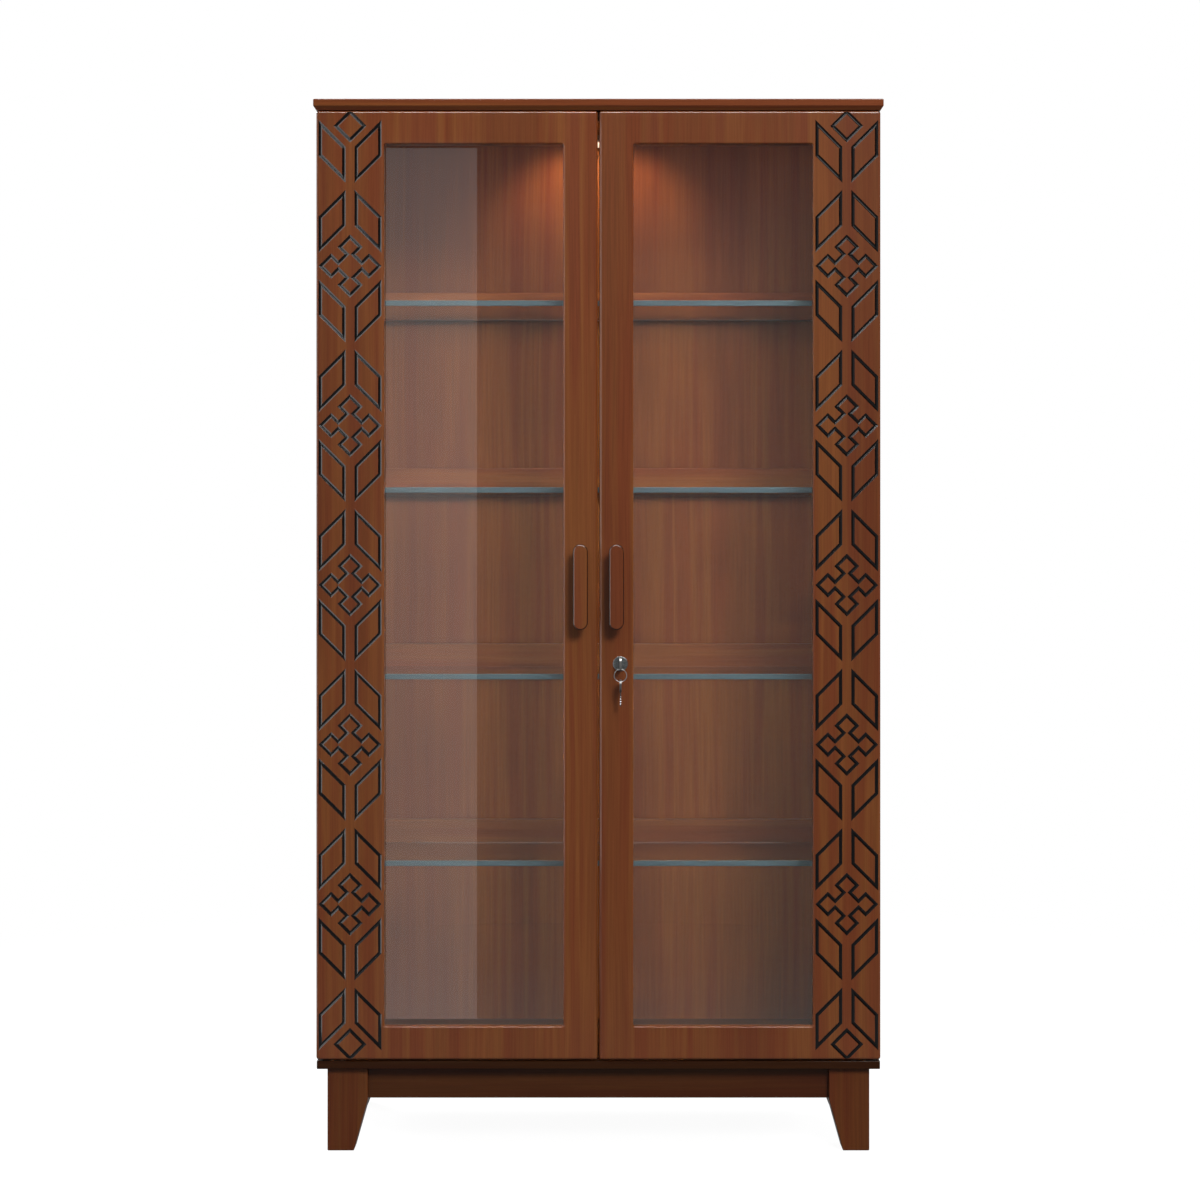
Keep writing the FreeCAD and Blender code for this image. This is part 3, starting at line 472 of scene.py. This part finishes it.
def moulded_plastic(name, color, roughness):
    """Plastic with a fine grain from its mould and a faintly uneven colour."""
    material, graph, shader = new_material(name)
    place = object_place(graph)
    grain = graph.noise(place, plastic_grain_size)["Fac"]
    cloud = graph.noise(place, plastic_cloud_size)["Fac"]
    dulling = graph.fade(cloud, noise_low, noise_high, plastic_dull_share, 1.0)
    graph.feed(shader.inputs["Base Color"], graph.shaded(color, dulling))
    graph.feed(shader.inputs["Normal"], graph.bump(grain, plastic_bump, plastic_relief))
    shader.inputs["Roughness"].default_value = roughness
    return material


def lamp_lens(name):
    """Frosted diffuser, brighter in the middle, with fine prisms in rings round it."""
    material, graph, shader = new_material(name)
    away = graph.vector_math("SUBTRACT", object_place(graph), tuple(lens_middle))[0]
    radius = graph.vector_math("LENGTH", away)["Value"]
    reach = (lens_high.x - lens_low.x) / 2
    # At a scale of 1, Blender's wave texture turns by this angle in a metre
    wave_radians = 20
    wave_scale = 2 * math.pi / wave_radians / prism_spacing
    rings = {"wave_type": "RINGS", "rings_direction": "Z"}
    prisms = graph.node("ShaderNodeTexWave", {"Vector": away, "Scale": wave_scale}, **rings)
    glow = graph.fade(radius, 0.0, reach, lens_middle_glow, lens_rim_glow)
    graph.feed(shader.inputs["Normal"], graph.bump(prisms.outputs["Fac"], prism_bump, prism_relief))
    graph.feed(shader.inputs["Emission Strength"], glow)
    graph.feed(shader.inputs["Emission Color"], LENS_LIGHT)
    graph.feed(shader.inputs["Base Color"], LENS_WHITE)
    shader.inputs["Roughness"].default_value = lens_roughness
    return material


# Which finish each piece takes

def paint(name, material):
    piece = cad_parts[name]
    piece.data.materials.clear()
    piece.data.materials.append(material)


def shift_of(number):
    """Where in the log a door or a board was cut, so that each has a figure of its own."""
    return (board_shift * number, -board_shift * number / 2, board_shift * number / 3)


def paint_doors():
    for number, side in enumerate(("left", "right")):
        plain = wood(side + "_door_wood", GRAIN_Z, shift_of(number))
        carved = wood(side + "_carved_wood", GRAIN_Z, shift_of(number), carved=True)
        rimmed = wood(side + "_handle_wood", GRAIN_Z, shift_of(number), painted_rim_shade=True)
        for piece in ("inner_stile", "top_rail", "bottom_rail", "glass_beads"):
            paint(side + "_" + piece, plain)
        paint(side + "_outer_stile", carved)
        paint(side + "_handle", rimmed)


def paint_carcass():
    """Gives each board its grain, its shine, and its tone beside the doors' wood. Tones below 1 on the
    base, the back panel and the back rails are painted shade; the top board's tone above 1 is painted
    light.
    """
    boards = {
        "top_board": (GRAIN_X, 1.06, top_shine),
        # Painted shade darkens the bottom board and the front apron most, under the doors' overhang;
        # painted light lifts the top board a little
        "bottom_board": (GRAIN_X, 0.19, bottom_shine),
        "left_side_panel": (GRAIN_Z, 1.0, door_shine),
        "right_side_panel": (GRAIN_Z, 1.0, door_shine),
        # Painted shade: the back panel is darker than the outer boards because it stands inside the
        # cabinet
        "back_panel": (GRAIN_Z, 0.7, inner_shine),
        "front_apron": (GRAIN_X, 0.42, base_shine),
        "rear_apron": (GRAIN_X, apron_shade_tone, base_shine),
        "left_apron": (GRAIN_Y, apron_shade_tone, base_shine),
        "right_apron": (GRAIN_Y, apron_shade_tone, base_shine),
        "front_left_leg": (GRAIN_Z, leg_shade_tone, base_shine),
        "front_right_leg": (GRAIN_Z, leg_shade_tone, base_shine),
        "rear_left_leg": (GRAIN_Z, leg_shade_tone, base_shine),
        "rear_right_leg": (GRAIN_Z, leg_shade_tone, base_shine),
        # Painted shade: the higher a back rail stands, the darker it is painted
        "back_rail_1": (GRAIN_X, 0.58, inner_shine),
        "back_rail_2": (GRAIN_X, 0.66, inner_shine),
        "back_rail_3": (GRAIN_X, 0.76, inner_shine),
        "back_rail_4": (GRAIN_X, 0.9, inner_shine),
        "apron_cleats": (GRAIN_X, 1.1, base_shine),
        "dowels": (GRAIN_Z, 1.6, base_shine),
    }
    for number, (name, (grain, tone, shine)) in enumerate(boards.items()):
        paint(name, wood(name + "_wood", grain, shift_of(number + 2), tone, shine))


def paint_glass():
    pane = clear_glass("pane_glass", PANE_TINT, pane_index)
    shelf = clear_glass("shelf_glass", SHELF_TINT, shelf_index, edge=True)
    for side in ("left", "right"):
        paint(side + "_door_glass", pane)
    for name in ("glass_shelf_1", "glass_shelf_2", "glass_shelf_3", "glass_shelf_4"):
        paint(name, shelf)


def paint_fittings():
    finishes = {
        metal("zinc_steel", ZINC, roughness=0.34): (
            "cleat_screws", "plate_screws", "shelf_pins", "bolt_case", "bolt",
            "lock_nut", "lock_cam", "lock_keeper", "left_handle_screws", "right_handle_screws",
            "left_catch_strike", "right_catch_strike",
        ),
        metal("dark_steel", DARK_STEEL, roughness=0.4): ("pivot_plates",),
        metal("brushed_nickel", BRUSHED_NICKEL, roughness=0.3): ("lock_body", "lock_plug"),
        metal("key_nickel", KEY_NICKEL, roughness=0.34, scratch_axis=GRAIN_Z): ("key", "key_ring"),
        metal("spare_key_nickel", SPARE_KEY_NICKEL, roughness=0.42, scratch_axis=GRAIN_Z): (
            "spare_key",
        ),
        moulded_plastic("bush_nylon", NYLON_BLACK, roughness=0.4): (
            "left_pivot_bushes", "right_pivot_bushes",
        ),
        moulded_plastic("catch_plastic", CATCH_BROWN, roughness=0.42): ("magnetic_catch",),
        metal("light_housing_metal", HOUSING_GRAY, roughness=0.28): ("light_housing",),
        lamp_lens("lens_diffuser"): ("light_lens",),
    }
    for material, names in finishes.items():
        for name in names:
            paint(name, material)


# Studio

def aimed(thing, target):
    direction = Vector(target) - thing.location
    thing.rotation_euler = direction.to_track_quat("-Z", "Y").to_euler()


def area_lamp(name, place, target, width, height, power, color=WHITE):
    data = bpy.data.lights.new(name, "AREA")
    data.shape = "RECTANGLE"
    data.size = width
    data.size_y = height
    data.energy = power
    data.color = color
    lamp = bpy.data.objects.new(name, data)
    bpy.context.scene.collection.objects.link(lamp)
    lamp.location = place
    lamp.visible_camera = False
    aimed(lamp, target)
    return lamp


def only_in_reflections(lamp):
    """Keeps a lamp's light off the surfaces themselves, so that it shows just where it is mirrored."""
    lamp.visible_diffuse = False
    lamp.visible_transmission = False


def lights_only(lamp, names):
    """Lets a lamp reach just the named pieces, so that the panes don't mirror it."""
    receivers = bpy.data.collections.new(lamp.name + "_receivers")
    for name in names:
        receivers.objects.link(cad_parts[name])
    lamp.light_linking.receiver_collection = receivers


def mirrored_card():
    """A pale card whose mirror image in the left pane fills the photograph's pale rectangle."""
    pane_y = left_glass_low.y
    to_pane = pane_y - (door_front - camera_distance)
    size_of_pixel = to_pane / focal_pixels * (1 + card_distance / to_pane)
    left = (mirrored_left - middle_pixel_x) * size_of_pixel
    right = (mirrored_right - middle_pixel_x) * size_of_pixel
    top = camera_height + (horizon_pixel_y - mirrored_top) * size_of_pixel
    bottom = camera_height + (horizon_pixel_y - mirrored_bottom) * size_of_pixel
    width = right - left
    height = top - bottom
    place = Vector(((left + right) / 2, pane_y - card_distance, (top + bottom) / 2))
    power = card_radiance * width * height * math.pi
    card = area_lamp("mirror_card", place, place + Vector((0, 1, 0)), width, height, power, card_color)
    only_in_reflections(card)


def studio_lamps():
    area_lamp("key", key_place, lamp_target, key_size, key_size, key_power, key_color)
    area_lamp("over", over_place, lamp_target, over_width, over_depth, over_power)
    area_lamp("rear", rear_place, lamp_target, rear_size, rear_size, rear_power)
    for name, turn in (("left_flank", -1), ("right_flank", 1)):
        place = (turn * flank_aside, flank_back, flank_height)
        flank = area_lamp(name, place, lamp_target, flank_size, flank_size, flank_power)
        flank.visible_glossy = False
    side = area_lamp("side", side_place, side_target, side_width, side_height, side_power)
    edge = area_lamp("edge", edge_place, edge_target, edge_width, edge_height, edge_power)
    strip = area_lamp("strip", strip_place, lamp_target, strip_width, strip_depth, strip_power)
    for lamp in (side, edge, strip):
        only_in_reflections(lamp)
    lights_only(edge, ("left_inner_stile", "right_inner_stile", "left_handle", "right_handle"))


def cabinet_glow():
    """The warm beam of the cabinet's own light, and a wide lamp for its spread."""
    data = bpy.data.lights.new("cabinet_glow", "SPOT")
    data.energy = glow_power
    data.color = glow_color
    data.spot_size = math.radians(glow_angle)
    data.spot_blend = glow_blend
    data.shadow_soft_size = glow_radius
    lamp = bpy.data.objects.new("cabinet_glow", data)
    bpy.context.scene.collection.objects.link(lamp)
    lamp.location = (lens_middle.x, lens_middle.y - glow_forward, lens_low.z - glow_drop)
    lamp.rotation_euler = (math.radians(glow_tilt), 0, 0)
    lamp.visible_glossy = False
    place = Vector((lens_middle.x, lens_middle.y - glow_forward, lens_low.z - spread_drop))
    target = place + Vector((0, spread_reach, -spread_reach))
    spread = area_lamp("spread", place, target, spread_width, spread_depth, spread_power, spread_color)
    spread.visible_glossy = False


def ray_kinds(graph):
    """Two masks: rays that come straight or through glass, and rays that a surface mirrored."""
    half_bounce = 0.5
    path = graph.node("ShaderNodeLightPath").outputs
    unscattered = graph.math("LESS_THAN", path["Diffuse Depth"], half_bounce)
    once_mirrored = graph.math("GREATER_THAN", path["Glossy Depth"], half_bounce)
    passed = graph.math("MAXIMUM", path["Is Camera Ray"], path["Is Transmission Ray"])
    straight = graph.math("SUBTRACT", passed, graph.math("MULTIPLY", passed, once_mirrored))
    mirrored = graph.math("MAXIMUM", path["Is Glossy Ray"], path["Is Transmission Ray"])
    mirrored = graph.math("MULTIPLY", mirrored, once_mirrored)
    return graph.math("MULTIPLY", straight, unscattered), graph.math("MULTIPLY", mirrored, unscattered)


def white_world():
    """White to the camera, an even light for surfaces, and dimmer in reflections, above all high up."""
    world = bpy.data.worlds.new("white_studio")
    world.use_nodes = True
    bpy.context.scene.world = world
    graph = Graph(world.node_tree)
    straight, mirrored = ray_kinds(graph)
    direction = graph.axes(graph.node("ShaderNodeTexCoord").outputs["Generated"])
    left_gain = graph.fade(direction["X"], -side_gloss_end, -side_gloss_start, left_gloss_gain, 0.0)
    right_loss = graph.fade(direction["X"], side_gloss_start, side_gloss_end, 0.0, right_gloss_loss)
    gloss = graph.fade(direction["Z"], high_gloss_start, high_gloss_end, gloss_level, high_gloss_level)
    gloss = graph.math("SUBTRACT", graph.math("ADD", left_gain, gloss), right_loss)
    gloss = graph.math("MAXIMUM", gloss, 0.0)
    level = graph.choose(straight, ambient_level, 1.0)
    level = graph.choose(mirrored, level, gloss)
    background = world.node_tree.nodes["Background"]
    graph.feed(background.inputs["Color"], WHITE)
    graph.feed(background.inputs["Strength"], level)


def floor_material():
    """White to the camera and dim in reflections. Near the cabinet, lamplight gives it a faint shadow."""
    material = bpy.data.materials.new("floor_white")
    material.use_nodes = True
    graph = Graph(material.node_tree)
    straight, mirrored = ray_kinds(graph)
    distance = graph.vector_math("LENGTH", object_place(graph))["Value"]
    seen = graph.fade(distance, floor_near, floor_far, floor_near_glow, 1.0)
    seen = graph.math("MULTIPLY", straight, seen)
    level = graph.math("MULTIPLY_ADD", mirrored, gloss_level, seen)
    color = graph.gray(graph.fade(distance, floor_near, floor_far, floor_near_color, 0.0))
    diffuse = graph.node("ShaderNodeBsdfDiffuse", {"Color": color}).outputs[0]
    emission = graph.node("ShaderNodeEmission", {"Strength": level}).outputs[0]
    both = graph.node("ShaderNodeAddShader", {0: diffuse, 1: emission}).outputs[0]
    graph.feed(material.node_tree.nodes["Material Output"].inputs["Surface"], both)
    return material


def white_floor():
    signs = ((-1, -1), (1, -1), (1, 1), (-1, 1))
    corners = [(x * floor_reach, y * floor_reach, 0.0) for x, y in signs]
    mesh = bpy.data.meshes.new("floor")
    mesh.from_pydata(corners, [], [(0, 1, 2, 3)])
    mesh.materials.append(floor_material())
    floor = bpy.data.objects.new("floor", mesh)
    bpy.context.scene.collection.objects.link(floor)


def photo_camera():
    data = bpy.data.cameras.new("camera")
    data.sensor_width = sensor_millimetres
    data.lens = focal_pixels / image_size * sensor_millimetres
    data.shift_x = (image_size / 2 - middle_pixel_x) / image_size
    data.shift_y = (horizon_pixel_y - image_size / 2) / image_size
    camera = bpy.data.objects.new("camera", data)
    bpy.context.scene.collection.objects.link(camera)
    camera.location = (0, door_front - camera_distance, camera_height)
    quarter_turn = math.radians(90)
    camera.rotation_euler = (quarter_turn, 0, 0)
    bpy.context.scene.camera = camera


bpy.context.scene.view_settings.view_transform = "Standard"
paint_doors()
paint_carcass()
paint_glass()
paint_fittings()
studio_lamps()
mirrored_card()
cabinet_glow()
white_world()
white_floor()
photo_camera()
